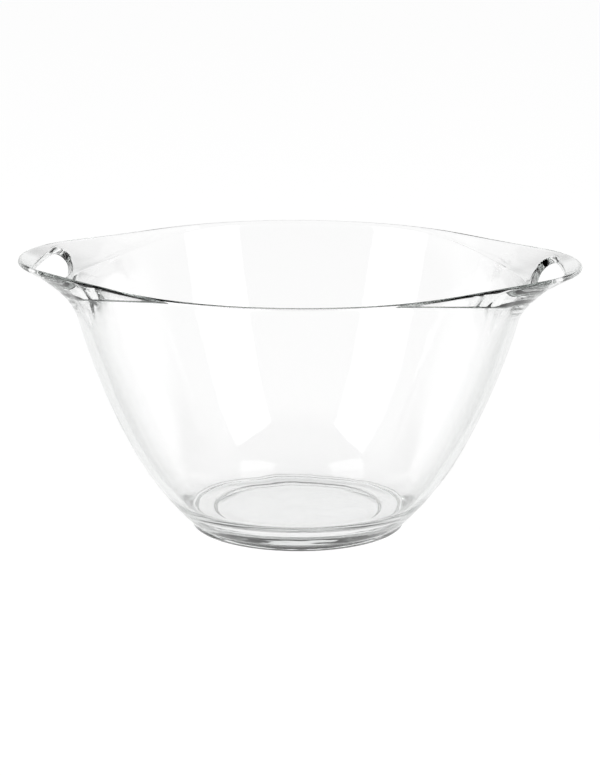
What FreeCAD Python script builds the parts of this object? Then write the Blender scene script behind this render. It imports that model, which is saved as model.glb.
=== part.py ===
import FreeCAD, Part
import Sketcher
import math
import os

# Punch bowl of clear pressed glass, moulded in one piece: a round bowl on a low foot, whose rim widens
# into a flat handle at each end, with a slot for the fingers. Millimetres, +Z up, handles along X,
# origin at the centre of the face that the foot stands on.

os.makedirs("parts", exist_ok=True)
doc = FreeCAD.newDocument("punch_bowl")

# ---------------------------------------------------------------- driving dimensions

DIMENSIONS = (
    ("overall_length", 352.0),    # over both handle tips
    ("rim_radius", 145.4),        # outside of the round stretches of the rim
    ("rim_height", 169.0),
    ("tip_rise", 0.6),            # the handles' tips stand a little above the rest of the rim
    ("tip_radius", 75.5),         # plan radius of each handle's end
    ("glass", 5.0),               # thickness of the wall
    ("rim_round", 1.6),           # radius of the rim's outer edge, half as thick as the handles
    ("shoulder_radius", 105.5),   # where the wall's two arcs meet
    ("shoulder_height", 52.2),
    ("shoulder_lean", 27.7),      # degrees from upright, at the shoulder
    ("base_radius", 70.4),        # foot of the wall, above the foot ring
    ("floor_height", 13.0),
    ("floor_fillet", 30.0),
    ("foot_radius", 67.4),
    ("foot_height", 5.0),
    ("foot_fillet", 2.5),         # hollow corner between the foot and the wall
    ("foot_round", 1.2),
    ("ring_radius", 52.0),        # inner edge of the ring that the bowl stands on
    ("recess_depth", 1.6),        # hollow under the foot, inside the ring
    ("flare_depth", 34.0),        # how far below the rim the wall starts to spread into a handle
    ("crease_depth", 12.8),       # the bowl's inner edge below the rim, at the handles
    ("crease_shallow", 1.8),      # the same, on the round stretches
    ("crease_start", 22.0),       # degrees from Y where the inner edge starts to sink
    ("crease_span", 50.0),        # degrees over which it sinks
    ("crease_spread", 3.5),       # the inner edge moves out by this much at the handles
    ("crease_lean", 12.0),        # and the wall below it leans out by these degrees
    ("spread_start", 60.0),       # degrees from Y where that starts
    ("spread_span", 30.0),
    ("crease_round", 0.3),        # reach of the rounding along each side of the inner edge
    ("ledge_width", 1.2),         # narrow steeper strip just outside the inner edge
    ("ledge_slope", 25.0),        # degrees
    ("handle_taper", 3.0),        # degrees between the handle's top and its underside
    ("lip_fade", 12.0),           # overhang over which the wall's side turns into an underside
    ("hold_under", 0.85),         # how closely the sweep under a handle follows the underside,
    ("hold_wall", 0.85),          # and the wall, as shares of the way to where the two would cross
    ("hold_wall_tip", 0.5),       # the second of these at the handle's tip
    ("slot_inside", 144.0),       # finger slot, from the bowl's axis
    ("slot_outside", 165.0),
    ("slot_tip", 157.0),          # where the slot's two long sides would meet
    ("slot_reach", 47.0),         # and how far that is from its middle
    ("slot_end_round", 6.0),
    ("slot_edge_round", 1.2),
    ("slot_tilt", 11.0),          # degrees
    ("slot_draft", 11.0),
    ("slot_level", 161.5),        # height of the handle's top at the middle of the slot
    ("slot_depth", 18.0),         # the cutter's reach above and below that
)

sheet = doc.addObject("Spreadsheet::Sheet", "sizes")
for row, (alias, value) in enumerate(DIMENSIONS, start=1):
    sheet.set(f"A{row}", alias)
    sheet.set(f"B{row}", str(value))
    sheet.setAlias(f"B{row}", alias)
doc.recompute()


def size(alias):
    return float(getattr(sheet, alias))


# ---------------------------------------------------------------- the wall and the handles
# Every upright half-section through the axis has the same chain of curves, each a cubic with four
# control points (radius, height). Only the curves near the rim change as the section turns.

HALF_LENGTH = size("overall_length") / 2
RIM_RADIUS = size("rim_radius")
RIM_HEIGHT = size("rim_height")
GLASS = size("glass")
TIP_CENTRE = HALF_LENGTH - size("tip_radius")
# Angle from X at which the straight flank between a handle's end and the round rim faces outward.
FLANK_ANGLE = math.acos((RIM_RADIUS - size("tip_radius")) / TIP_CENTRE)
SECTIONS = 72
PARALLEL = 0.001
# Share of the way to a rounded corner's point that its curve's handles reach.
CORNER_HOLD = 0.6


def add(point, direction, distance):
    return (point[0] + direction[0] * distance, point[1] + direction[1] * distance)


def heading(degrees):
    return (math.cos(math.radians(degrees)), math.sin(math.radians(degrees)))


def crossing(first, first_heading, second, second_heading):
    """How far two lines run from their points to where they cross."""
    turn = first_heading[0] * second_heading[1] - first_heading[1] * second_heading[0]
    across = (first[0] - second[0], first[1] - second[1])
    if abs(turn) < PARALLEL:
        return (math.hypot(*across), math.hypot(*across))
    back = (across[0] * second_heading[1] - across[1] * second_heading[0]) / turn
    on = (across[0] * first_heading[1] - across[1] * first_heading[0]) / turn
    return (abs(back), abs(on))


def ease(value):
    value = min(max(value, 0.0), 1.0)
    return value * value * (3 - 2 * value)


def rim_reach(angle):
    """Distance from the axis to the rim's outline, at a plan angle in radians from X."""
    angle = abs(math.remainder(angle, math.pi))
    tip_end = math.atan2(
        size("tip_radius") * math.sin(FLANK_ANGLE),
        TIP_CENTRE + size("tip_radius") * math.cos(FLANK_ANGLE),
    )
    if angle < tip_end:
        across = TIP_CENTRE * math.sin(angle)
        return TIP_CENTRE * math.cos(angle) + math.sqrt(size("tip_radius") ** 2 - across**2)
    if angle < FLANK_ANGLE:
        return RIM_RADIUS / math.cos(FLANK_ANGLE - angle)
    return RIM_RADIUS


class Arc:
    """An arc of the wall's outside in a half-section, with the inside parallel to it."""

    def __init__(self, start, end, start_heading):
        chord = math.atan2(end[1] - start[1], end[0] - start[0])
        turn = chord - math.radians(start_heading)
        self.radius = math.dist(start, end) / (2 * math.sin(turn))
        self.start = start_heading - 90
        self.end = self.start + math.degrees(2 * turn)
        self.centre = add(start, heading(self.start), -self.radius)

    def point(self, direction, inward=0.0):
        return add(self.centre, heading(direction), self.radius - inward)

    def direction_at(self, height):
        return math.degrees(math.asin((height - self.centre[1]) / self.radius))


def arc_curve(centre, radius, start, end):
    """Three control points that carry on from the arc's start to its end, angles in degrees."""
    handle = 4 / 3 * math.tan(math.radians(end - start) / 4) * radius
    first = add(centre, heading(start), radius)
    last = add(centre, heading(end), radius)
    return [add(first, heading(start + 90), handle), add(last, heading(end + 90), -handle), last]


def straight_curve(first, last):
    step = ((last[0] - first[0]) / 3, (last[1] - first[1]) / 3)
    return [add(first, step, 1), add(first, step, 2), last]


def corner_curve(first, corner, last):
    """Three control points of a rounded corner."""
    before = ((corner[0] - first[0]), (corner[1] - first[1]))
    after = ((corner[0] - last[0]), (corner[1] - last[1]))
    return [add(first, before, CORNER_HOLD), add(last, after, CORNER_HOLD), last]


SHOULDER = (size("shoulder_radius"), size("shoulder_height"))
SHOULDER_HEADING = 90 - size("shoulder_lean")
RIM_SIDE = (RIM_RADIUS, RIM_HEIGHT - size("rim_round"))
FOOT_SIDE = (size("base_radius"), size("foot_height"))
UPPER = Arc(SHOULDER, RIM_SIDE, SHOULDER_HEADING)
# The lower arc is drawn downward, from the shoulder to the foot.
LOWER_TURN = math.degrees(
    math.atan2(SHOULDER[1] - FOOT_SIDE[1], SHOULDER[0] - FOOT_SIDE[0])
) - SHOULDER_HEADING
LOWER = Arc(FOOT_SIDE, SHOULDER, SHOULDER_HEADING + 2 * LOWER_TURN)
FLARE_START = UPPER.direction_at(RIM_HEIGHT - size("flare_depth"))


def floor_curves():
    """Inside, from the flat floor round its fillet and up the lower arc to the shoulder."""
    fillet = size("floor_fillet")
    inner_radius = LOWER.radius - GLASS
    fillet_height = size("floor_height") + fillet
    drop = LOWER.centre[1] - fillet_height
    fillet_centre = (LOWER.centre[0] + math.sqrt((inner_radius - fillet) ** 2 - drop**2), fillet_height)
    meeting = math.degrees(math.asin(-drop / (inner_radius - fillet)))
    start = (fillet_centre[0], size("floor_height"))
    return (
        [start]
        + arc_curve(fillet_centre, fillet, -90, meeting)
        + arc_curve(LOWER.centre, inner_radius, meeting, LOWER.end)
    )


def rim_curves(angle):
    """The changing part of a half-section: up inside to the edge, over the rim and down outside."""
    from_y = 90 - abs(math.degrees(math.remainder(angle, math.pi)))
    reach = rim_reach(angle)
    overhang = reach - RIM_RADIUS
    rim_top = RIM_HEIGHT + size("tip_rise") * ease(overhang / (HALF_LENGTH - RIM_RADIUS))

    # The bowl's inner edge sinks and leans out towards the handles.
    sink = ease((from_y - size("crease_start")) / size("crease_span"))
    drop = size("crease_shallow") + (size("crease_depth") - size("crease_shallow")) * sink
    lean = ease((from_y - size("spread_start")) / size("spread_span"))
    edge_direction = UPPER.direction_at(RIM_HEIGHT - drop)
    edge = UPPER.point(edge_direction, GLASS)
    edge = (edge[0] + size("crease_spread") * lean, RIM_HEIGHT - drop)
    wall_heading = heading(edge_direction + 90 - size("crease_lean") * lean)

    # A narrow ledge follows it, and the top runs straight from there to the rounding of the rim.
    lip = size("rim_round")
    end_centre = (reach - lip, rim_top - lip)
    ledge_heading = heading(size("ledge_slope"))
    step = add(edge, ledge_heading, size("ledge_width"))
    slope = math.degrees(
        math.atan2(end_centre[1] - step[1], end_centre[0] - step[0])
        + math.asin(min(lip / math.dist(step, end_centre), 1.0))
    )
    before = add(edge, wall_heading, -size("crease_round"))
    ledge_start = add(edge, ledge_heading, size("crease_round"))
    ledge_end = add(step, ledge_heading, -size("crease_round"))
    after = add(step, heading(slope), size("crease_round"))
    top_end = add(end_centre, heading(slope + 90), lip)

    # Underneath, the handle thickens inward a little and then sweeps down into the wall.
    bend = ease(overhang / size("lip_fade"))
    wall_side = UPPER.end + 90
    underside = wall_side + (slope + size("handle_taper") - wall_side) * bend
    under = add(end_centre, heading(underside - 90), lip)
    foot = UPPER.point(FLARE_START)
    foot_heading = heading(FLARE_START + 90)
    span = math.dist(under, foot)
    back, on = crossing(under, heading(underside), foot, foot_heading)
    tip = ease(overhang / (HALF_LENGTH - RIM_RADIUS))
    hold_wall = size("hold_wall") + (size("hold_wall_tip") - size("hold_wall")) * tip
    under_reach = span / 3 * (1 - bend) + min(back, span) * size("hold_under") * bend
    wall_reach = span / 3 * (1 - bend) + min(on, span) * hold_wall * bend

    inner_foot = UPPER.point(FLARE_START, GLASS)
    inner_span = math.dist(inner_foot, before)
    points = [add(inner_foot, foot_heading, inner_span / 3)]
    points += [add(before, wall_heading, -inner_span / 3), before]
    points += corner_curve(before, edge, ledge_start)
    points += straight_curve(ledge_start, ledge_end)
    points += corner_curve(ledge_end, step, after)
    points += straight_curve(after, top_end)
    points += arc_curve(end_centre, lip, slope + 90, underside - 90)
    points += [add(under, heading(underside), -under_reach)]
    points += [add(foot, foot_heading, wall_reach), foot]
    return points


def half_section(angle):
    """Control points (radius, height) from the middle of the floor's edge round to the foot."""
    return (
        floor_curves()
        + arc_curve(UPPER.centre, UPPER.radius - GLASS, UPPER.start, FLARE_START)
        + rim_curves(angle)
        + arc_curve(UPPER.centre, UPPER.radius, FLARE_START, UPPER.start)
        + arc_curve(LOWER.centre, LOWER.radius, LOWER.end, LOWER.start)
    )


def turned_curve(column):
    """The closed curve that one control point follows round the bowl."""
    points = []
    for index, (radius, height) in enumerate(column):
        angle = 2 * math.pi * index / SECTIONS
        points.append(FreeCAD.Vector(radius * math.cos(angle), radius * math.sin(angle), height))
    curve = Part.BSplineCurve()
    steps = [float(step) for step in range(SECTIONS + 1)]
    curve.interpolate(Points=points, PeriodicFlag=True, Parameters=steps)
    return curve


def glass_shell():
    """Faces of the whole wall, one round the bowl for each curve of the half-section."""
    sections = [half_section(2 * math.pi * step / SECTIONS) for step in range(SECTIONS)]
    curves = [turned_curve(column) for column in zip(*sections)]
    rings = [curve.getPoles() for curve in curves]
    knots = curves[0].getKnots()
    mults = curves[0].getMultiplicities()
    faces = []
    for first in range(0, len(rings) - 1, 3):
        grid = [list(poles) for poles in zip(*rings[first:first + 4])]
        surface = Part.BSplineSurface()
        surface.buildFromPolesMultsKnots(grid, mults, [4, 4], knots, [0.0, 1.0], True, False, 3, 3)
        faces.append(surface.toShape())
    for curve in (curves[0], curves[-1]):
        faces.append(Part.Face(Part.Wire(curve.toShape())))
    shell = Part.makeShell(faces)
    shell.sewShape()
    solid = Part.makeSolid(shell)
    if solid.Volume < 0:
        solid.reverse()
    return solid


wall = doc.addObject("Part::Feature", "wall_and_handles")
wall.Shape = glass_shell()
wall.Placement = FreeCAD.Placement()

# ---------------------------------------------------------------- the foot
# A low disc under the wall, turned from its half-section: a ring to stand on round a shallow hollow.

foot = doc.addObject("PartDesign::Body", "foot")
upright_plane = [plane for plane in foot.Origin.OriginFeatures if plane.Role == "XZ_Plane"][0]
outline = foot.newObject("Sketcher::SketchObject", "foot_half_section")
outline.AttachmentSupport = [(upright_plane, "")]
outline.MapMode = "FlatFace"

RECESS_EDGE = size("ring_radius")
RING_EDGE = RECESS_EDGE + size("recess_depth")
CORNERS = (
    (0.0, size("recess_depth")),
    (RECESS_EDGE, size("recess_depth")),
    (RING_EDGE, 0.0),
    (size("foot_radius"), 0.0),
    (size("foot_radius"), size("foot_height")),
    (0.0, size("foot_height")),
)
# The sketch's lines in order, each from one corner to the next.
RECESS_LINE, SLOPE_LINE, STAND_LINE, SIDE_LINE, TOP_LINE, AXIS_LINE = range(len(CORNERS))
for line, corner in enumerate(CORNERS):
    following = CORNERS[(line + 1) % len(CORNERS)]
    outline.addGeometry(Part.LineSegment(FreeCAD.Vector(*corner, 0), FreeCAD.Vector(*following, 0)), False)
for line in range(len(CORNERS)):
    outline.addConstraint(Sketcher.Constraint("Coincident", line, 2, (line + 1) % len(CORNERS), 1))
for line in (RECESS_LINE, TOP_LINE):
    outline.addConstraint(Sketcher.Constraint("Horizontal", line))
outline.addConstraint(Sketcher.Constraint("Vertical", SIDE_LINE))
outline.addConstraint(Sketcher.Constraint("PointOnObject", AXIS_LINE, 1, -2))
outline.addConstraint(Sketcher.Constraint("PointOnObject", AXIS_LINE, 2, -2))
outline.addConstraint(Sketcher.Constraint("PointOnObject", STAND_LINE, 1, -1))
outline.addConstraint(Sketcher.Constraint("PointOnObject", STAND_LINE, 2, -1))


def drive_corner(kind, line, expression):
    """Sets one coordinate of the point where a line starts, from the sheet."""
    index = outline.addConstraint(Sketcher.Constraint(kind, -1, 1, line, 1, size("foot_height")))
    outline.setExpression(f"Constraints[{index}]", expression)


drive_corner("DistanceY", RECESS_LINE, "sizes.recess_depth")
drive_corner("DistanceX", SLOPE_LINE, "sizes.ring_radius")
drive_corner("DistanceX", STAND_LINE, "sizes.ring_radius + sizes.recess_depth")
drive_corner("DistanceX", SIDE_LINE, "sizes.foot_radius")
drive_corner("DistanceY", TOP_LINE, "sizes.foot_height")
turning = foot.newObject("PartDesign::Revolution", "foot_disc")
turning.Profile = outline
turning.ReferenceAxis = (outline, ["V_Axis"])
turning.Angle = 360

# ---------------------------------------------------------------- the finger slots
# A slot is the lens where two cones cross, one for each long side, with rounded corners. It narrows
# downward, and leans outward so that it runs more nearly square to the handle's slope.

SLOT_MIDDLE = "(sizes.slot_inside + sizes.slot_outside) / 2"


def side_cone(name, bulge, sign):
    """The cone whose side makes one long side of the slot; bulge is that side's depth of curve."""
    radius = f"((sizes.slot_reach ^ 2 + ({bulge}) ^ 2) / (2 * ({bulge})))"
    taper = "sizes.slot_depth * tan(sizes.slot_draft)"
    cone = doc.addObject("Part::Cone", name)
    cone.setExpression("Height", "2 * sizes.slot_depth")
    cone.setExpression("Radius1", f"{radius} - {taper}")
    cone.setExpression("Radius2", f"{radius} + {taper}")
    edge = "sizes.slot_tip - " + SLOT_MIDDLE + f" + ({sign}) * (({bulge}) - {radius})"
    cone.setExpression("Placement.Base.x", edge)
    cone.setExpression("Placement.Base.z", "-sizes.slot_depth")
    # The cone's seam is turned away from the slot.
    cone.Placement.Rotation = FreeCAD.Rotation(FreeCAD.Vector(0, 0, 1), 90 + 90 * sign)
    return cone


lens = doc.addObject("Part::Common", "slot_lens")
lens.Base = side_cone("slot_inner_side", "sizes.slot_tip - sizes.slot_inside", -1)
lens.Tool = side_cone("slot_outer_side", "sizes.slot_outside - sizes.slot_tip", 1)
doc.recompute()


def edges_where(shape, wanted):
    """Numbers, from 1, of the edges that a test accepts."""
    return [number for number, edge in enumerate(shape.Edges, start=1) if wanted(edge)]


def rounded(name, base, choices):
    """A Part fillet of the chosen edges, from pairs of a radius in the sheet and a test."""
    fillet = doc.addObject("Part::Fillet", name)
    fillet.Base = base
    fillet.Edges = [
        (number, size(radius), size(radius))
        for radius, wanted in choices
        for number in edges_where(base.Shape, wanted)
    ]
    doc.recompute()
    return fillet


def is_lens_corner(edge):
    return edge.BoundBox.ZLength > size("slot_depth")


slot = rounded("slot", lens, [("slot_end_round", is_lens_corner)])
slot.setExpression(
    "Placement",
    f"placement(vector({SLOT_MIDDLE}; 0; sizes.slot_level); rotation(vector(0; 1; 0); -sizes.slot_tilt))",
)
other_slot = doc.addObject("Part::Mirroring", "other_slot")
other_slot.Source = slot
other_slot.Normal = FreeCAD.Vector(1, 0, 0)

# ---------------------------------------------------------------- the whole bowl

blank = doc.addObject("Part::Fuse", "blank")
blank.Base = wall
blank.Tool = foot
slots = doc.addObject("Part::Fuse", "both_slots")
slots.Base = slot
slots.Tool = other_slot
pierced = doc.addObject("Part::Cut", "pierced")
pierced.Base = blank
pierced.Tool = slots
doc.recompute()


NEAR = 0.05


def is_circle(edge, radius, height):
    box = edge.BoundBox
    round_axis = abs(box.XMax - radius) < NEAR and abs(box.YMax - radius) < NEAR
    return round_axis and abs(box.ZMin - height) < NEAR and box.ZLength < NEAR


def is_slot_rim(edge):
    """Edges of a slot's two openings: they run round the hole, and not down through it."""
    box = edge.BoundBox
    beside = min(abs(box.XMin), abs(box.XMax)) > size("slot_inside") - size("slot_edge_round")
    inside = max(abs(box.XMin), abs(box.XMax)) < size("slot_outside") + size("slot_edge_round")
    above = box.ZMin > RIM_HEIGHT - size("slot_depth")
    return beside and inside and above and box.YLength > size("slot_edge_round")


bowl = rounded(
    "bowl",
    pierced,
    [
        ("foot_round", lambda edge: is_circle(edge, size("foot_radius"), 0.0)),
        ("foot_fillet", lambda edge: is_circle(edge, size("foot_radius"), size("foot_height"))),
        ("slot_edge_round", is_slot_rim),
    ],
)
bowl.Label = "bowl"
doc.recompute()

# ---------------------------------------------------------------- checks and export

for item in doc.Objects:
    troubles = [state for state in item.State if state in ("Invalid", "Error")]
    if troubles:
        raise RuntimeError(f"{item.Name}: {troubles}")
    shape = getattr(item, "Shape", None)
    if shape is not None and item.isDerivedFrom("Part::Feature") and (shape.isNull() or not shape.isValid()):
        raise RuntimeError(f"{item.Name}: its shape is missing or not valid")
if len(blank.Shape.Solids) != 1:
    raise RuntimeError("the foot doesn't join the wall")
slot_middle = (size("slot_inside") + size("slot_outside")) / 2
slot_floor = size("slot_level") - size("rim_round")
for side in (-1, 1):
    hole = FreeCAD.Vector(side * slot_middle, 0, slot_floor)
    if not blank.Shape.isInside(hole, NEAR, True) or bowl.Shape.isInside(hole, NEAR, True):
        raise RuntimeError("a finger slot doesn't go through its handle")

for piece in (bowl,):
    if len(piece.Shape.Solids) != 1:
        raise RuntimeError(f"{piece.Label} is not one solid")
    piece.Shape.exportStep(f"parts/{piece.Label}.step")
    litres = piece.Shape.Volume / 1e6
    print(f"{piece.Label}: {litres:.3f} litres of glass")
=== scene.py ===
import math

import bmesh
import bpy
from mathutils import Matrix, Vector


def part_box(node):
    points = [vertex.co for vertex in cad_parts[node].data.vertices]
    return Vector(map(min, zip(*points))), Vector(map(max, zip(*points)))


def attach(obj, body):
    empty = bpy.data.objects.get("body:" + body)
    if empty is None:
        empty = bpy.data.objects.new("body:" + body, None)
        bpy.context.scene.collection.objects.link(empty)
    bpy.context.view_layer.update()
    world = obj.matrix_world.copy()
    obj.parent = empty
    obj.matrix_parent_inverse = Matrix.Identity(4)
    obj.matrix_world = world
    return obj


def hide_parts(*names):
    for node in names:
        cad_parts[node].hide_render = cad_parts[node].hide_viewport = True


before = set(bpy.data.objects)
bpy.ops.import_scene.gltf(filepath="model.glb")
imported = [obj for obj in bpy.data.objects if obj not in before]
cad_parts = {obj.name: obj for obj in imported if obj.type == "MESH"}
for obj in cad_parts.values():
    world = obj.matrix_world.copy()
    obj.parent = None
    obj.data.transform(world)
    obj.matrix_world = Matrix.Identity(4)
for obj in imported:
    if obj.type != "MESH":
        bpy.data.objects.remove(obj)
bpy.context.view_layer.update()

# Clear pressed-glass punch bowl: one piece, with a slotted handle moulded into the rim at each end.
# The glass is one closed mesh, made from the same upright half-sections as the CAD solid, in metres.
# A half-section is a chain of cubic curves of (distance from the axis, height), from the middle of
# the floor up inside, over the rim, and down outside to the middle of the foot.

scene = bpy.context.scene
bowl_low, bowl_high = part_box("bowl")
MIDDLE = (bowl_low + bowl_high) / 2

# ---------------------------------------------------------------- sizes

MM = 0.001
# The visible glass stays this far inside the CAD solid's box.
INSET = 0.02 * MM
HALF_LENGTH = (bowl_high.x - bowl_low.x) / 2 - INSET
RIM_RADIUS = (bowl_high.y - bowl_low.y) / 2 - INSET
TIP_RISE = 0.6 * MM
RIM_HEIGHT = bowl_high.z - TIP_RISE - INSET
TIP_RADIUS = 75.5 * MM
GLASS = 5.0 * MM
SHOULDER = (105.5 * MM, 52.2 * MM)
SHOULDER_LEAN = 27.7
BASE_RADIUS = 70.4 * MM
FLOOR_HEIGHT = 13.0 * MM
FLOOR_FILLET = 30.0 * MM
FOOT_RADIUS = 67.4 * MM
FOOT_HEIGHT = 5.0 * MM
FOOT_FILLET = 2.5 * MM
FOOT_ROUND = 1.2 * MM
RING_RADIUS = 52.0 * MM
RECESS_DEPTH = 1.6 * MM
RECESS_ROUND = 0.6 * MM
# The flat over the foot starts this far inside the end of the wall's outer arc.
FOOT_SETBACK = 0.12 * MM
FLARE_DEPTH = 34.0 * MM
CREASE_DEPTH = 12.8 * MM
CREASE_SHALLOW = 1.8 * MM
# Degrees from Y where the bowl's inner edge starts to sink, and over which it does.
CREASE_START = 22.0
CREASE_SPAN = 50.0
CREASE_SPREAD = 3.5 * MM
CREASE_LEAN = 12.0
SPREAD_START = 60.0
SPREAD_SPAN = 30.0
CREASE_ROUND = 0.3 * MM
# A narrow steeper strip just outside that edge.
LEDGE_WIDTH = 1.2 * MM
LEDGE_SLOPE = 25.0
RIM_ROUND = 1.6 * MM
HANDLE_TAPER = 3.0
# Overhang over which the wall's side turns into a handle's underside.
LIP_FADE = 12.0 * MM
# How closely the sweep under a handle follows the underside and the wall, as shares of the way to
# where the two would cross.
HOLD_UNDER = 0.85
HOLD_WALL = 0.85
HOLD_WALL_TIP = 0.5
SLOT_INSIDE = 144.0 * MM
SLOT_OUTSIDE = 165.0 * MM
SLOT_TIP = 157.0 * MM
SLOT_REACH = 47.0 * MM
SLOT_END_ROUND = 6.0 * MM
SLOT_EDGE_ROUND = 1.2 * MM
SLOT_TILT = math.radians(11.0)
SLOT_DRAFT = math.tan(math.radians(11.0))
SLOT_LEVEL = 161.5 * MM
SLOT_DEPTH = 18.0 * MM

TIP_CENTRE = HALF_LENGTH - TIP_RADIUS
# Angle from X at which the straight flank between a handle's end and the round rim faces outward.
FLANK_ANGLE = math.acos((RIM_RADIUS - TIP_RADIUS) / TIP_CENTRE)
PARALLEL = 0.001
# Share of the way to a rounded corner's point that its curve's handles reach.
CORNER_HOLD = 0.6
HALVINGS = 40


# ---------------------------------------------------------------- half-sections

def add(point, direction, distance):
    return (point[0] + direction[0] * distance, point[1] + direction[1] * distance)


def mix(first, last, part):
    return tuple(a + (b - a) * part for a, b in zip(first, last))


def heading(degrees):
    return (math.cos(math.radians(degrees)), math.sin(math.radians(degrees)))


def crossing(first, first_heading, second, second_heading):
    """How far two lines run from their points to where they cross, the first one backwards."""
    determinant = first_heading[0] * second_heading[1] - first_heading[1] * second_heading[0]
    if abs(determinant) < PARALLEL:
        return (1.0, 1.0)
    across = (first[0] - second[0], first[1] - second[1])
    back = (across[0] * second_heading[1] - across[1] * second_heading[0]) / determinant
    on = (across[0] * first_heading[1] - across[1] * first_heading[0]) / determinant
    return (abs(back), abs(on))


def ease(value):
    value = min(max(value, 0.0), 1.0)
    return value * value * (3 - 2 * value)


def rim_reach(angle):
    """Distance from the axis to the rim's outline, at a plan angle from X."""
    angle = abs(math.remainder(angle, math.pi))
    tip_end = math.atan2(
        TIP_RADIUS * math.sin(FLANK_ANGLE), TIP_CENTRE + TIP_RADIUS * math.cos(FLANK_ANGLE)
    )
    if angle < tip_end:
        across = TIP_CENTRE * math.sin(angle)
        return TIP_CENTRE * math.cos(angle) + math.sqrt(TIP_RADIUS**2 - across**2)
    if angle < FLANK_ANGLE:
        return RIM_RADIUS / math.cos(FLANK_ANGLE - angle)
    return RIM_RADIUS


class Arc:
    """An arc of the wall's outside in a half-section, with the inside parallel to it."""

    def __init__(self, start, end, start_heading):
        chord = math.atan2(end[1] - start[1], end[0] - start[0])
        turn = chord - math.radians(start_heading)
        self.radius = math.dist(start, end) / (2 * math.sin(turn))
        self.start = start_heading - 90
        self.end = self.start + math.degrees(2 * turn)
        self.centre = add(start, heading(self.start), -self.radius)

    def point(self, direction, inward=0.0):
        return add(self.centre, heading(direction), self.radius - inward)

    def direction_at(self, height):
        return math.degrees(math.asin((height - self.centre[1]) / self.radius))


def arc_curve(centre, radius, start, end):
    """Four control points of an arc, angles in degrees."""
    handle = 4 / 3 * math.tan(math.radians(end - start) / 4) * radius
    first = add(centre, heading(start), radius)
    last = add(centre, heading(end), radius)
    return (first, add(first, heading(start + 90), handle), add(last, heading(end + 90), -handle), last)


def straight_curve(first, last):
    return (first, mix(first, last, 1 / 3), mix(first, last, 2 / 3), last)


def corner_curve(first, corner, last):
    """A rounded corner."""
    return (first, mix(first, corner, CORNER_HOLD), mix(last, corner, CORNER_HOLD), last)


def curve_point(curve, part):
    rest = 1 - part
    weights = (rest**3, 3 * rest**2 * part, 3 * rest * part**2, part**3)
    return tuple(sum(w * p[axis] for w, p in zip(weights, curve)) for axis in (0, 1))


SHOULDER_HEADING = 90 - SHOULDER_LEAN
FOOT_SIDE = (BASE_RADIUS, FOOT_HEIGHT)
UPPER = Arc(SHOULDER, (RIM_RADIUS, RIM_HEIGHT - RIM_ROUND), SHOULDER_HEADING)
LOWER_TURN = math.degrees(
    math.atan2(SHOULDER[1] - FOOT_SIDE[1], SHOULDER[0] - FOOT_SIDE[0])
) - SHOULDER_HEADING
LOWER = Arc(FOOT_SIDE, SHOULDER, SHOULDER_HEADING + 2 * LOWER_TURN)
FLARE_START = UPPER.direction_at(RIM_HEIGHT - FLARE_DEPTH)


def floor_curves():
    """Inside: the flat floor, its fillet, and the lower arc up to the shoulder."""
    inner_radius = LOWER.radius - GLASS
    fillet_height = FLOOR_HEIGHT + FLOOR_FILLET
    drop = LOWER.centre[1] - fillet_height
    fillet_centre = (
        LOWER.centre[0] + math.sqrt((inner_radius - FLOOR_FILLET) ** 2 - drop**2), fillet_height
    )
    meeting = math.degrees(math.asin(-drop / (inner_radius - FLOOR_FILLET)))
    start = (fillet_centre[0], FLOOR_HEIGHT)
    return [
        straight_curve((0.0, FLOOR_HEIGHT), start),
        arc_curve(fillet_centre, FLOOR_FILLET, -90, meeting),
        arc_curve(LOWER.centre, inner_radius, meeting, LOWER.end),
    ]


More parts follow.
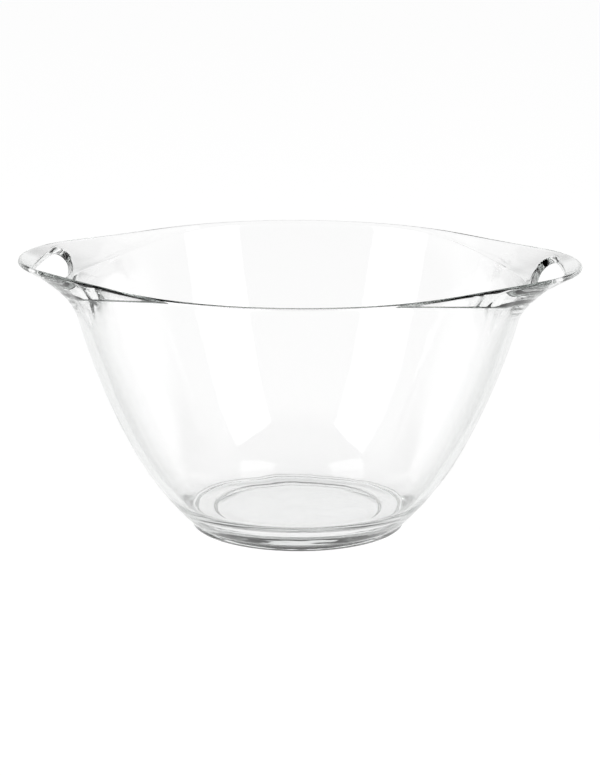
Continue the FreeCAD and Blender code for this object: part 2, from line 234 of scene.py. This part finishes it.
def rim_curves(angle):
    """The part that changes round the bowl: up inside to the edge, over the rim and down outside."""
    from_y = 90 - abs(math.degrees(math.remainder(angle, math.pi)))
    reach = rim_reach(angle)
    overhang = reach - RIM_RADIUS
    rim_top = RIM_HEIGHT + TIP_RISE * ease(overhang / (HALF_LENGTH - RIM_RADIUS))

    drop = CREASE_SHALLOW + (CREASE_DEPTH - CREASE_SHALLOW) * ease((from_y - CREASE_START) / CREASE_SPAN)
    lean = ease((from_y - SPREAD_START) / SPREAD_SPAN)
    edge_direction = UPPER.direction_at(RIM_HEIGHT - drop)
    edge = UPPER.point(edge_direction, GLASS)
    edge = (edge[0] + CREASE_SPREAD * lean, RIM_HEIGHT - drop)
    wall_heading = heading(edge_direction + 90 - CREASE_LEAN * lean)

    end_centre = (reach - RIM_ROUND, rim_top - RIM_ROUND)
    step = add(edge, heading(LEDGE_SLOPE), LEDGE_WIDTH)
    slope = math.degrees(
        math.atan2(end_centre[1] - step[1], end_centre[0] - step[0])
        + math.asin(min(RIM_ROUND / math.dist(step, end_centre), 1.0))
    )
    before = add(edge, wall_heading, -CREASE_ROUND)
    ledge_start = add(edge, heading(LEDGE_SLOPE), CREASE_ROUND)
    ledge_end = add(step, heading(LEDGE_SLOPE), -CREASE_ROUND)
    after = add(step, heading(slope), CREASE_ROUND)
    top_end = add(end_centre, heading(slope + 90), RIM_ROUND)

    bend = ease(overhang / LIP_FADE)
    wall_side = UPPER.end + 90
    underside = wall_side + (slope + HANDLE_TAPER - wall_side) * bend
    under = add(end_centre, heading(underside - 90), RIM_ROUND)
    foot = UPPER.point(FLARE_START)
    foot_heading = heading(FLARE_START + 90)
    span = math.dist(under, foot)
    back, on = crossing(under, heading(underside), foot, foot_heading)
    tip = ease(overhang / (HALF_LENGTH - RIM_RADIUS))
    hold_wall = HOLD_WALL + (HOLD_WALL_TIP - HOLD_WALL) * tip
    under_reach = span / 3 * (1 - bend) + min(back, span) * HOLD_UNDER * bend
    wall_reach = span / 3 * (1 - bend) + min(on, span) * hold_wall * bend

    inner_foot = UPPER.point(FLARE_START, GLASS)
    inner_span = math.dist(inner_foot, before)
    return [
        (
            inner_foot,
            add(inner_foot, foot_heading, inner_span / 3),
            add(before, wall_heading, -inner_span / 3),
            before,
        ),
        corner_curve(before, edge, ledge_start),
        straight_curve(ledge_start, ledge_end),
        corner_curve(ledge_end, step, after),
        straight_curve(after, top_end),
        arc_curve(end_centre, RIM_ROUND, slope + 90, underside - 90),
        (
            under,
            add(under, heading(underside), -under_reach),
            add(foot, foot_heading, wall_reach),
            foot,
        ),
    ]


def foot_curves():
    """Outside, from the foot of the wall over the foot and in under it to the middle."""
    inset = RECESS_ROUND
    ring = RING_RADIUS + RECESS_DEPTH
    return [
        straight_curve((BASE_RADIUS - FOOT_SETBACK, FOOT_HEIGHT), (FOOT_RADIUS + FOOT_FILLET, FOOT_HEIGHT)),
        arc_curve((FOOT_RADIUS + FOOT_FILLET, FOOT_HEIGHT - FOOT_FILLET), FOOT_FILLET, 90, 180),
        straight_curve((FOOT_RADIUS, FOOT_HEIGHT - FOOT_FILLET), (FOOT_RADIUS, FOOT_ROUND)),
        arc_curve((FOOT_RADIUS - FOOT_ROUND, FOOT_ROUND), FOOT_ROUND, 0, -90),
        straight_curve((FOOT_RADIUS - FOOT_ROUND, 0.0), (ring + inset, 0.0)),
        corner_curve((ring + inset, 0.0), (ring, 0.0), (ring - inset, inset)),
        straight_curve((ring - inset, inset), (RING_RADIUS + inset, RECESS_DEPTH - inset)),
        corner_curve(
            (RING_RADIUS + inset, RECESS_DEPTH - inset),
            (RING_RADIUS, RECESS_DEPTH),
            (RING_RADIUS - inset, RECESS_DEPTH),
        ),
        straight_curve((RING_RADIUS - inset, RECESS_DEPTH), (0.0, RECESS_DEPTH)),
    ]


# Rows of faces across a handle's top, and as many across its underside.
SLOT_ROWS = 16
# How many lengths each curve of a half-section is cut into, in order from the middle of the floor.
FLOOR_STEPS = (6, 18, 14)
UPPER_STEPS = 26
RIM_STEPS = (12, 5, 2, 5, SLOT_ROWS, 18, SLOT_ROWS)
OUTER_STEPS = (26, 16)
FOOT_STEPS = (1, 8, 3, 6, 4, 3, 2, 3, 6)
# Which of the rim's curves are a handle's top and its underside.
TOP_CURVE = 4
UNDER_CURVE = 6


def half_section(angle):
    """All the curves of a half-section with their steps."""
    return (
        list(zip(floor_curves(), FLOOR_STEPS))
        + [(arc_curve(UPPER.centre, UPPER.radius - GLASS, UPPER.start, FLARE_START), UPPER_STEPS)]
        + list(zip(rim_curves(angle), RIM_STEPS))
        + [(arc_curve(UPPER.centre, UPPER.radius, FLARE_START, UPPER.start), OUTER_STEPS[0])]
        + [(arc_curve(LOWER.centre, LOWER.radius, LOWER.end, LOWER.start), OUTER_STEPS[1])]
        + list(zip(foot_curves(), FOOT_STEPS))
    )


# ---------------------------------------------------------------- finger slots

def slot_outline(part, side, height):
    """A point of the slot's outline in its own plane, at a height along its axis.

    side 0 is the long inner side, 1 the rounded end at +y, 2 the long outer side, 3 the other end.
    """
    middle = (SLOT_INSIDE + SLOT_OUTSIDE) / 2
    bulges = (SLOT_TIP - SLOT_INSIDE, SLOT_OUTSIDE - SLOT_TIP)
    radii = [(SLOT_REACH**2 + bulge**2) / (2 * bulge) for bulge in bulges]
    inner_centre = SLOT_INSIDE - middle + radii[0]
    outer_centre = SLOT_OUTSIDE - middle - radii[1]
    inner = radii[0] + height * SLOT_DRAFT
    outer = radii[1] + height * SLOT_DRAFT
    # The rounded ends touch both long sides from within.
    a, b = inner - SLOT_END_ROUND, outer - SLOT_END_ROUND
    apart = inner_centre - outer_centre
    x = (b**2 - a**2 + apart**2) / (2 * apart)
    y = math.sqrt(b**2 - x**2)
    end = (outer_centre + x, y)
    inner_turn = math.atan2(y, inner_centre - end[0])
    outer_turn = math.atan2(y, end[0] - outer_centre)
    if side == 0:
        turn = inner_turn * (2 * part - 1)
        return (inner_centre - inner * math.cos(turn), inner * math.sin(turn))
    if side == 2:
        turn = outer_turn * (1 - 2 * part)
        return (outer_centre + outer * math.cos(turn), outer * math.sin(turn))
    first, last = math.pi - inner_turn, outer_turn
    if side == 1:
        turn = first + (last - first) * part
        return (end[0] + SLOT_END_ROUND * math.cos(turn), end[1] + SLOT_END_ROUND * math.sin(turn))
    turn = -last + (last - first) * part
    return (end[0] + SLOT_END_ROUND * math.cos(turn), -end[1] + SLOT_END_ROUND * math.sin(turn))


def slot_point(part, side, height):
    x, y = slot_outline(part, side, height)
    return (
        (SLOT_INSIDE + SLOT_OUTSIDE) / 2 + x * math.cos(SLOT_TILT) - height * math.sin(SLOT_TILT),
        y,
        SLOT_LEVEL + x * math.sin(SLOT_TILT) + height * math.cos(SLOT_TILT),
    )


def surface_spot(x, y, curve_index):
    """Plan angle, part along one rim curve, and height of the surface there, for a place in plan."""
    angle = math.atan2(y, x)
    reach = math.hypot(x, y)
    curve = rim_curves(angle)[curve_index]
    low, high = 0.0, 1.0
    rising = curve[3][0] > curve[0][0]
    for _ in range(HALVINGS):
        half = (low + high) / 2
        if (curve_point(curve, half)[0] < reach) == rising:
            low = half
        else:
            high = half
    part = (low + high) / 2
    return angle, part, curve_point(curve, part)[1]


def surface_point(angle, part, curve_index):
    reach, height = curve_point(rim_curves(angle)[curve_index], part)
    return (reach * math.cos(angle), reach * math.sin(angle), height)


def slot_edge(part, side, curve_index):
    """Where a line along the slot's side meets the handle's top or underside."""
    low, high = -SLOT_DEPTH, SLOT_DEPTH
    for _ in range(HALVINGS):
        half = (low + high) / 2
        x, y, z = slot_point(part, side, half)
        if z > surface_spot(x, y, curve_index)[2]:
            high = half
        else:
            low = half
    return slot_point(part, side, (low + high) / 2)


# ---------------------------------------------------------------- the mesh

COLUMNS = 360
HALF_TURN = COLUMNS // 2
# Columns on each side of a handle's middle, round its slot, where the mesh is fitted to the slot.
PATCH_HALF = 22
PATCH_COLUMNS = 2 * PATCH_HALF
EDGE_STEPS = 4
WALL_STEPS = 3
RING_STEPS = 9
# Above 1, the rings of faces round a slot crowd towards its edge.
RING_CROWDING = 1.3
SHARP_ANGLE = math.radians(40)


def slot_ring():
    """Each step round a slot, with its place on the outline and on the border of the patch about it.

    A border place is a plan angle in columns and a part of the way across the handle from its inside.
    """
    ring = []
    for step in range(PATCH_COLUMNS):
        ring.append((step / PATCH_COLUMNS, 0, step - PATCH_HALF, 0.0))
    for step in range(SLOT_ROWS):
        ring.append((step / SLOT_ROWS, 1, PATCH_HALF, step / SLOT_ROWS))
    for step in range(PATCH_COLUMNS):
        ring.append((step / PATCH_COLUMNS, 2, PATCH_HALF - step, 1.0))
    for step in range(SLOT_ROWS):
        ring.append((step / SLOT_ROWS, 3, -PATCH_HALF, 1 - step / SLOT_ROWS))
    return ring


def outward(loop, index):
    """Direction in plan, square to a closed loop of points and away from its inside."""
    before, after = loop[index - 1], loop[(index + 1) % len(loop)]
    along = Vector((after[0] - before[0], after[1] - before[1], 0)).normalized()
    return Vector((-along.y, along.x, 0))


class Builder:
    """The mesh's points and faces as they are made."""

    def __init__(self):
        self.points = []
        self.faces = []

    def vertex(self, point):
        self.points.append(tuple(point))
        return len(self.points) - 1

    def band(self, first, last, closed=True):
        """Quads between two rows of vertices."""
        count = len(first) if closed else len(first) - 1
        for index in range(count):
            following = (index + 1) % len(first)
            self.faces.append((first[index], first[following], last[following], last[index]))


def build_bowl():
    """Rows of faces round the bowl, then the patches about the two slots and the slots' walls."""
    build = Builder()
    rows = []
    curve_rows = []
    sections = [half_section(2 * math.pi * column / COLUMNS) for column in range(COLUMNS)]
    for curve_index, (_, steps) in enumerate(sections[0]):
        curve_rows.append(len(rows))
        for step in range(steps):
            if curve_index == 0 and step == 0:
                rows.append([build.vertex((0, 0, FLOOR_HEIGHT))])
                continue
            row = []
            for column in range(COLUMNS):
                angle = 2 * math.pi * column / COLUMNS
                reach, height = curve_point(sections[column][curve_index][0], step / steps)
                row.append(build.vertex((reach * math.cos(angle), reach * math.sin(angle), height)))
            rows.append(row)
    rows.append([build.vertex((0, 0, RECESS_DEPTH))])
    curve_rows.append(len(rows) - 1)

    first_rim = len(FLOOR_STEPS) + 1
    patches = [
        (curve_rows[first_rim + index], curve_rows[first_rim + index + 1])
        for index in (TOP_CURVE, UNDER_CURVE)
    ]

    def in_patch(row, column):
        from_tip = min(column % HALF_TURN, HALF_TURN - column % HALF_TURN - 1)
        return from_tip < PATCH_HALF and any(low <= row < high for low, high in patches)

    for row, (first, last) in enumerate(zip(rows, rows[1:])):
        for column in range(COLUMNS):
            following = (column + 1) % COLUMNS
            if len(first) == 1:
                build.faces.append((first[0], last[column], last[following]))
            elif len(last) == 1:
                build.faces.append((first[column], last[0], first[following]))
            elif not in_patch(row, column):
                build.faces.append((first[column], last[column], last[following], first[following]))

    ring = slot_ring()
    for mirror in (0, 1):
        loops = []
        for curve_index, (low, high) in zip((TOP_CURVE, UNDER_CURVE), patches):
            top = curve_index == TOP_CURVE
            edge = [slot_edge(part, side, curve_index) for part, side, _, _ in ring]
            opposite = [
                slot_edge(part, side, UNDER_CURVE if top else TOP_CURVE) for part, side, _, _ in ring
            ]
            brink = []
            wall = []
            for index, point in enumerate(edge):
                away = Vector(point) + outward(edge, index) * SLOT_EDGE_ROUND
                brink.append(surface_spot(away.x, away.y, curve_index)[:2])
                down = (Vector(opposite[index]) - Vector(point)).normalized()
                wall.append(Vector(point) + down * SLOT_EDGE_ROUND)
            turned = []
            for step in range(RING_STEPS + 1):
                share = (step / RING_STEPS) ** RING_CROWDING
                row = []
                for (angle, part), (_, _, column, across) in zip(brink, ring):
                    if step == RING_STEPS:
                        along = across if top else 1 - across
                        place = rows[low + round(along * SLOT_ROWS)]
                        chosen = (column if mirror == 0 else HALF_TURN - column) % COLUMNS
                        row.append(place[chosen])
                        continue
                    border = (math.radians(column), across if top else 1 - across)
                    spot = mix((angle, part), border, share)
                    x, y, z = surface_point(spot[0], spot[1], curve_index)
                    row.append(build.vertex((-x if mirror else x, y, z)))
                turned.append(row)
            bend = []
            for step in range(1, EDGE_STEPS + 1):
                share = step / EDGE_STEPS
                row = []
                for index, point in enumerate(edge):
                    start = Vector(surface_point(brink[index][0], brink[index][1], curve_index))
                    corner = Vector(point)
                    place = (
                        start * (1 - share) ** 2 + corner * 2 * share * (1 - share) + wall[index] * share**2
                    )
                    row.append(build.vertex((-place.x if mirror else place.x, place.y, place.z)))
                bend.append(row)
            loops.append((turned[::-1] + bend, wall))
        (top_rows, top_wall), (under_rows, under_wall) = loops
        between = []
        for step in range(1, WALL_STEPS):
            row = []
            for first, last in zip(top_wall, under_wall):
                place = first.lerp(last, step / WALL_STEPS)
                row.append(build.vertex((-place.x if mirror else place.x, place.y, place.z)))
            between.append(row)
        chain = top_rows + between + under_rows[::-1]
        for first, last in zip(chain, chain[1:]):
            build.band(first, last)

    mesh = bpy.data.meshes.new("glass_bowl")
    mesh.from_pydata(build.points, [], build.faces)
    mesh.validate()
    return mesh


def tidy_faces(mesh):
    """All faces outward and smooth, with creases only where two of them meet at a sharp angle."""
    work = bmesh.new()
    work.from_mesh(mesh)
    bmesh.ops.recalc_face_normals(work, faces=work.faces)
    for face in work.faces:
        face.smooth = True
    for edge in work.edges:
        if len(edge.link_faces) == 2 and edge.calc_face_angle() > SHARP_ANGLE:
            edge.smooth = False
    work.to_mesh(mesh)
    work.free()


bowl_mesh = build_bowl()
tidy_faces(bowl_mesh)
bowl = bpy.data.objects.new("glass_bowl", bowl_mesh)
scene.collection.objects.link(bowl)
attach(bowl, "root")
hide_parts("bowl")


# ---------------------------------------------------------------- materials

def nodes_of(name):
    material = bpy.data.materials.new(name)
    material.use_nodes = True
    tree = material.node_tree
    return material, tree, tree.nodes["Principled BSDF"]


# Painted shade: the glass's colour greys from the first of these to the second, where 0 is seen square on
# and 1 edge-on, down to the last colour.
EDGE_ON_START = 0.45
EDGE_ON_END = 1.0
EDGE_ON_PAINTED_SHADE = (0.5, 0.52, 0.51)
# Ripples in a metre, across and up the bowl.
RIPPLES_ACROSS = 45.0
RIPPLES_UP = 14.0
RIPPLE_HEIGHT = 0.3 * MM


def clear_glass():
    """Clear pressed glass, a little grey where it is thick, with painted shade greying it where it is seen
    edge-on, and mould ripples.
    """
    material, tree, shader = nodes_of("clear_glass")
    facing = tree.nodes.new("ShaderNodeLayerWeight")
    facing.inputs["Blend"].default_value = 0.5
    # Painted shade: a ramp from the facing value that turns the glass's colour grey where it is seen
    # edge-on.
    painted_edge_shade = tree.nodes.new("ShaderNodeMapRange")
    painted_edge_shade.data_type = "FLOAT_VECTOR"
    painted_edge_shade.interpolation_type = "SMOOTHSTEP"
    tree.links.new(facing.outputs["Facing"], painted_edge_shade.inputs["Vector"])
    # A vector ramp's own ends come after the number ramp's, which have the same names.
    vectors = [socket for socket in painted_edge_shade.inputs if socket.type == "VECTOR" and not socket.is_linked]
    ends = ((EDGE_ON_START,) * 3, (EDGE_ON_END,) * 3, (1.0, 1.0, 1.0), EDGE_ON_PAINTED_SHADE)
    for socket, value in zip(vectors, ends):
        socket.default_value = value
    # The painted edge-on shade becomes the glass's base colour.
    tree.links.new(painted_edge_shade.outputs["Vector"], shader.inputs["Base Color"])
    shader.inputs["Roughness"].default_value = 0.0
    shader.inputs["IOR"].default_value = 1.52
    shader.inputs["Transmission Weight"].default_value = 1.0
    absorption = tree.nodes.new("ShaderNodeVolumeAbsorption")
    absorption.inputs["Color"].default_value = (0.8, 0.82, 0.81, 1)
    absorption.inputs["Density"].default_value = 6.0
    # Slow upright ripples, with a finer unevenness on them.
    coordinates = tree.nodes.new("ShaderNodeTexCoord")
    stretch = tree.nodes.new("ShaderNodeMapping")
    stretch.inputs["Scale"].default_value = (RIPPLES_ACROSS, RIPPLES_ACROSS, RIPPLES_UP)
    tree.links.new(coordinates.outputs["Object"], stretch.inputs["Vector"])
    ripples = tree.nodes.new("ShaderNodeTexNoise")
    ripples.inputs["Scale"].default_value = 1.0
    ripples.inputs["Detail"].default_value = 2.0
    ripples.inputs["Roughness"].default_value = 0.35
    tree.links.new(stretch.outputs["Vector"], ripples.inputs["Vector"])
    bump = tree.nodes.new("ShaderNodeBump")
    bump.inputs["Strength"].default_value = 0.5
    bump.inputs["Distance"].default_value = RIPPLE_HEIGHT
    tree.links.new(ripples.outputs["Fac"], bump.inputs["Height"])
    tree.links.new(bump.outputs["Normal"], shader.inputs["Normal"])
    output = next(node for node in tree.nodes if node.type == "OUTPUT_MATERIAL")
    tree.links.new(absorption.outputs["Volume"], output.inputs["Volume"])
    return material


bowl_mesh.materials.append(clear_glass())


# ---------------------------------------------------------------- floor, light and camera

# Kept clear of the foot's face, so that the two don't lie in one plane.
FLOOR_GAP = 0.1 * MM
FLOOR_HALF = 12.0


def floor():
    """A plain white floor, lit mostly from within, so that it stays white under and round the bowl."""
    corners = ((-1, -1), (1, -1), (1, 1), (-1, 1))
    points = [(x * FLOOR_HALF, y * FLOOR_HALF, -FLOOR_GAP) for x, y in corners]
    mesh = bpy.data.meshes.new("floor")
    mesh.from_pydata(points, [], [(0, 1, 2, 3)])
    piece = bpy.data.objects.new("floor", mesh)
    scene.collection.objects.link(piece)
    material, tree, shader = nodes_of("white_floor")
    shader.inputs["Base Color"].default_value = (0.25, 0.25, 0.25, 1)
    shader.inputs["Roughness"].default_value = 0.9
    shader.inputs["Specular IOR Level"].default_value = 0.0
    shader.inputs["Emission Color"].default_value = (1, 1, 1, 1)
    shader.inputs["Emission Strength"].default_value = 0.92
    mesh.materials.append(material)


floor()

FRONT_LEVEL = 0.5
BACK_LEVEL = 0.03
CEILING_LEVEL = 0.01
# Where one level fades to the next: heights as sines above the horizon, and depth from front to back.
FRONT_FADE = (0.08, 0.2)
BACK_FADE = (0.28, 0.45)
DEPTH_FADE = (-0.15, 0.25)
CEILING_FADE = (0.66, 0.8)


def studio_walls():
    """White near the horizon; above, grey at the front and dark behind; and a dark ceiling."""
    world = bpy.data.worlds.new("studio")
    scene.world = world
    world.use_nodes = True
    tree = world.node_tree

    def faded(source, ends, first, last):
        """Socket of a soft ramp between two levels, each a number or another ramp's socket."""
        node = tree.nodes.new("ShaderNodeMapRange")
        node.interpolation_type = "SMOOTHSTEP"
        tree.links.new(source, node.inputs["Value"])
        node.inputs["From Min"].default_value, node.inputs["From Max"].default_value = ends
        for name, value in (("To Min", first), ("To Max", last)):
            if isinstance(value, float):
                node.inputs[name].default_value = value
            else:
                tree.links.new(value, node.inputs[name])
        return node.outputs["Result"]

    coordinates = tree.nodes.new("ShaderNodeTexCoord")
    split = tree.nodes.new("ShaderNodeSeparateXYZ")
    tree.links.new(coordinates.outputs["Generated"], split.inputs[0])
    front = faded(split.outputs["Z"], FRONT_FADE, 1.0, FRONT_LEVEL)
    back = faded(split.outputs["Z"], BACK_FADE, 1.0, BACK_LEVEL)
    walls = faded(split.outputs["Y"], DEPTH_FADE, front, back)
    level = faded(split.outputs["Z"], CEILING_FADE, walls, CEILING_LEVEL)
    tree.links.new(level, tree.nodes["Background"].inputs["Strength"])
    tree.nodes["Background"].inputs["Color"].default_value = (1, 1, 1, 1)


studio_walls()


SOFTBOX_PLACE = Vector((1.6, -1.2, 1.0))
SOFTBOX_WIDTH = 1.2
SOFTBOX_HEIGHT = 2.2
SOFTBOX_WATTS = 18


def softbox(name, side):
    """A tall light to the left (-1) or right (1) of the camera, facing the bowl."""
    data = bpy.data.lights.new(name, "AREA")
    data.shape = "RECTANGLE"
    data.size = SOFTBOX_WIDTH
    data.size_y = SOFTBOX_HEIGHT
    data.energy = SOFTBOX_WATTS
    lamp = bpy.data.objects.new(name, data)
    scene.collection.objects.link(lamp)
    lamp.location = SOFTBOX_PLACE * Vector((side, 1, 1))
    lamp.rotation_euler = (MIDDLE - lamp.location).to_track_quat("-Z", "Y").to_euler()


softbox("left_softbox", -1)
softbox("right_softbox", 1)

AZIMUTH = math.radians(4.4)
ELEVATION = math.radians(13.8)
ROLL = math.radians(0.2)
DISTANCE = 1.6
AIM_OFFSET = Vector((0.00105, 0.0, 0.0022))
BOUNCES = 40

camera_data = bpy.data.cameras.new("camera")
camera = bpy.data.objects.new("camera", camera_data)
scene.collection.objects.link(camera)
scene.camera = camera
camera_data.lens = 117.57
camera_data.sensor_width = 36.0
turn = (
    Matrix.Rotation(AZIMUTH, 4, "Z")
    @ Matrix.Rotation(math.pi / 2 - ELEVATION, 4, "X")
    @ Matrix.Rotation(ROLL, 4, "Z")
)
place = MIDDLE + AIM_OFFSET + turn.to_3x3() @ Vector((0, 0, DISTANCE))
camera.matrix_world = Matrix.Translation(place) @ turn
camera_data.clip_start = 0.05
camera_data.clip_end = 60.0

scene.view_settings.view_transform = "Standard"
# Light caught in the wall under the rim takes many turns to get out.
scene.cycles.max_bounces = BOUNCES
scene.cycles.transmission_bounces = BOUNCES
scene.cycles.glossy_bounces = BOUNCES
scene.cycles.diffuse_bounces = 4
scene.cycles.transparent_max_bounces = 16
